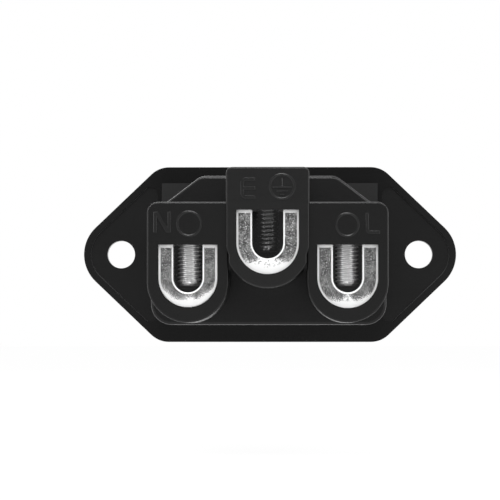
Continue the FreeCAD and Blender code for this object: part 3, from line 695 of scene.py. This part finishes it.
def raised(form, corners, rounds=()):
    """Pull a flat outline up from the wall. rounds are corners to round first, with a radius."""
    known = set(form.faces)
    spots = [form.verts.new((across * MM, up * MM, 0)) for across, up in corners]
    form.faces.new(spots)
    for number, radius in rounds:
        bmesh.ops.bevel(form, geom=[spots[number]], offset=radius * MM, offset_type="OFFSET", segments=5,
                        affect="VERTICES", profile=0.5, material=-1)
    flat = [face for face in form.faces if face not in known]
    made = bmesh.ops.extrude_face_region(form, geom=flat)["geom"]
    top = [item for item in made if isinstance(item, bmesh.types.BMFace)]
    bmesh.ops.translate(form, verts=[item for item in made if isinstance(item, bmesh.types.BMVert)],
                        vec=(0, 0, RELIEF + SUNK))
    rim = {edge for item in top for edge in item.edges}
    bmesh.ops.bevel(form, geom=list(rim), offset=MARK_ROUND, segments=3, affect="EDGES", profile=0.5,
                    material=-1)


def bar(form, across, up, width, height):
    """A raised rectangle about a centre."""
    left, right, low, high = across - width / 2, across + width / 2, up - height / 2, up + height / 2
    raised(form, [(left, low), (right, low), (right, high), (left, high)])


def ring(form, radius):
    """A raised ring about the origin, with an arched section."""
    high = (RELIEF + SUNK) / MM
    half = RING_WIDTH / 2
    arch = [(1.0, 0.0), (1.0, 0.6), (0.6, 0.92), (0.2, 1.0)]
    section = [(radius - out * half, up * high) for out, up in arch]
    section += [(radius + out * half, up * high) for out, up in reversed(arch)]
    line = [form.verts.new((out * MM, 0, up * MM)) for out, up in section]
    edges = [form.edges.new((one, other)) for one, other in zip(line, line[1:] + line[:1])]
    bmesh.ops.spin(form, geom=[*line, *edges], cent=(0, 0, 0), axis=(0, 0, 1), angle=math.tau,
                   steps=RING_STEPS, use_merge=True)


# %% [markdown]
# ## Letters and signs
#
# Each mark is drawn in millimetres about its own middle, lying flat, and is then stood up against its
# tower. The letters are block letters with a stroke of half a millimetre. L and E have rounded
# corners, as a mould's engraver cuts them.

# %% Draw and place the marks
def letter_n(form):
    """Two stems and the slanted bar between them."""
    wide, tall, stem, slant, notch = 1.12, 1.3, 0.5, 0.12, 0.45
    inner = wide - stem
    raised(form, [(-wide, -tall), (-inner, -tall), (-inner, notch), (inner - slant, -tall), (wide, -tall),
                  (wide, tall), (inner, tall), (inner, -notch), (slant - inner, tall), (-wide, tall)])


def letter_l(form):
    """A stem and a foot, round at the heel."""
    wide, tall, stem, foot, heel, crook = 0.92, 1.3, 0.48, 0.45, 0.6, 0.2
    raised(form, [(-wide, -tall), (wide, -tall), (wide, foot - tall), (stem - wide, foot - tall),
                  (stem - wide, tall), (-wide, tall)], [(0, heel), (3, crook)])


def letter_e(form):
    """A stem and three arms, round at both ends of the stem."""
    wide, tall, stem, arm, heel, crook = 0.94, 1.33, 0.49, 0.46, 0.75, 0.2
    inner, half = stem - wide, arm / 2
    raised(form, [(-wide, -tall), (wide, -tall), (wide, arm - tall), (inner, arm - tall), (inner, -half),
                  (wide, -half), (wide, half), (inner, half), (inner, tall - arm), (wide, tall - arm),
                  (wide, tall), (-wide, tall)], [(0, heel), (11, heel), (3, crook), (8, crook)])


def earth_sign(form):
    """A ring with a stem and three shortening bars in it."""
    ring(form, 1.49)
    bar(form, 0.0, 0.5, 0.21, 1.2)
    for up, width, height in ((-0.1, 2.4, 0.26), (-0.57, 1.5, 0.23), (-1.0, 0.64, 0.21)):
        bar(form, 0.0, up, width, height)


def place_mark(draw, name, across, up, back):
    """Draw a mark, turn it to face backwards and set it on a tower."""
    form = bmesh.new()
    draw(form)
    bmesh.ops.recalc_face_normals(form, faces=form.faces)
    turn = Matrix(((-1, 0, 0, across * MM), (0, 0, 1, back - SUNK), (0, 1, 0, up * MM), (0, 0, 0, 1)))
    bmesh.ops.transform(form, matrix=turn, verts=form.verts)
    finish_piece(form, name, "housing", mark_plastic, smooth=False)


place_mark(letter_n, "letter_n", 12.94, 3.0, TOWER_BACK)
place_mark(letter_l, "letter_l", -12.86, 2.83, TOWER_BACK)
place_mark(letter_e, "letter_e", 2.42, 7.13, EARTH_BACK)
place_mark(lambda form: ring(form, 1.48), "neutral_ring", 9.62, 2.82, TOWER_BACK)
place_mark(lambda form: ring(form, 1.38), "line_ring", -9.75, 2.67, TOWER_BACK)
place_mark(earth_sign, "earth_sign", -1.78, 7.34, EARTH_BACK)

# %% [markdown]
# ## Studio
#
# The photo is a catalogue picture: even soft light, strongest from above, and a white ground. Black
# satin plastic looks black because it mirrors the dim room behind the camera, and every rounded edge
# turns away from that room and mirrors the white. So the world is white, except for a dim patch on the
# camera's side. The ground is white because floor and world show plain white to the camera, and not
# because more light falls on the part.

# %% World
WORLD_LIGHT = 0.55
ROOM_LIGHT = 0.37
ROOM_EDGE = (0.5, 0.86)


def rays(tree):
    """Two wires: 1 where the camera looks, and 1 where a reflection or a clear piece looks."""
    path = tree.nodes.new("ShaderNodeLightPath")
    mirrored = Wire(path.outputs["Is Glossy Ray"]).maths("MAXIMUM", Wire(path.outputs["Is Transmission Ray"]))
    return Wire(path.outputs["Is Camera Ray"]), mirrored


world = bpy.data.worlds.new("studio")
bpy.context.scene.world = world
world.use_nodes = True
background = world.node_tree.nodes["Background"]
background.inputs["Color"].default_value = grey(1.0)
by_camera, mirrored = rays(world.node_tree)
direction = Wire(world.node_tree.nodes.new("ShaderNodeTexCoord").outputs["Generated"])
room = 1 - direction.axis(1).rise(*ROOM_EDGE) * (1 - ROOM_LIGHT)
others = (mirrored * (1 - WORLD_LIGHT) + WORLD_LIGHT) * room
strength = by_camera + (1 - by_camera) * others
world.node_tree.links.new(strength.socket, background.inputs["Strength"])
print("world light on the part:", WORLD_LIGHT, "and on its camera side in mirrors:", ROOM_LIGHT)

# %% [markdown]
# ## Floor
#
# The floor is a matt grey plane under the part. Seen by the camera or in a mirror it is mostly plain
# white, and the rest is the matt grey, which keeps the part's faint shadow. The white is a little over
# 1, to make up for the share of grey.

# %% Floor
FLOOR_LEVEL = -26.0 * MM
FLOOR_REACH = 3.0
FLOOR_GREY = 0.5
FLOOR_WHITE = 1.12
WHITE_SHARE = 0.85

form = bmesh.new()
bmesh.ops.create_grid(form, x_segments=1, y_segments=1, size=FLOOR_REACH)
bmesh.ops.translate(form, verts=form.verts, vec=(0, 0, FLOOR_LEVEL))
floor_mesh = bpy.data.meshes.new("floor")
form.to_mesh(floor_mesh)
form.free()
floor = bpy.data.objects.new("floor", floor_mesh)
bpy.context.scene.collection.objects.link(floor)

floor_paint = bpy.data.materials.new("floor_paint")
floor_paint.use_nodes = True
floor_paint.node_tree.nodes.clear()
by_camera, mirrored = rays(floor_paint.node_tree)
seen = by_camera.maths("MAXIMUM", mirrored) * WHITE_SHARE
matt = seen.node("ShaderNodeBsdfDiffuse", None, {"Color": grey(FLOOR_GREY)})
white = seen.node("ShaderNodeEmission", None, {"Color": grey(1.0), "Strength": FLOOR_WHITE})
paint = seen.node("ShaderNodeMixShader", None, {0: seen, 1: matt, 2: white})
paint.node("ShaderNodeOutputMaterial", None, {"Surface": paint})
floor_mesh.materials.append(floor_paint)
print("floor, mm:", round(FLOOR_LEVEL / MM, 1))

# %% [markdown]
# ## Lamps
#
# Every lamp is a soft square that looks at the part. A small one stands above the camera and reaches
# the strips inside their windows, which the plastic's lip would shade from a steeper lamp. It still
# stands high enough that the level black faces don't mirror it. Two low ones at the sides draw the
# gleam on the screws, and the last lights the front, for the views from that side.


# %% Lamps
def lamp(name, place, size, power):
    """A square soft lamp that looks at the object."""
    light = bpy.data.lights.new(name, "AREA")
    light.shape = "SQUARE"
    light.size = size
    light.energy = power
    holder = bpy.data.objects.new(name, light)
    holder.location = Vector(place)
    holder.rotation_mode = "QUATERNION"
    holder.rotation_quaternion = (-Vector(place)).to_track_quat("-Z", "Y")
    bpy.context.scene.collection.objects.link(holder)


for name, place, size, power in (
        ("overhead", (0.09, 0.2, 0.42), 0.3, 1.4),
        ("left", (0.36, 0.46, 0.04), 0.16, 0.3),
        ("right", (-0.36, 0.46, 0.04), 0.16, 0.2),
        ("above_camera", (-0.02, 0.6, 0.27), 0.12, 0.65),
        ("high_right", (-0.3, 0.42, 0.5), 0.25, 1.1),
        ("side", (-0.5, 0.3, 0.1), 0.3, 0.3),
        ("far_side", (0.2, -0.5, 0.3), 0.4, 0.8)):
    lamp(name, place, size, power)
print("lamps:", len(bpy.data.lights))
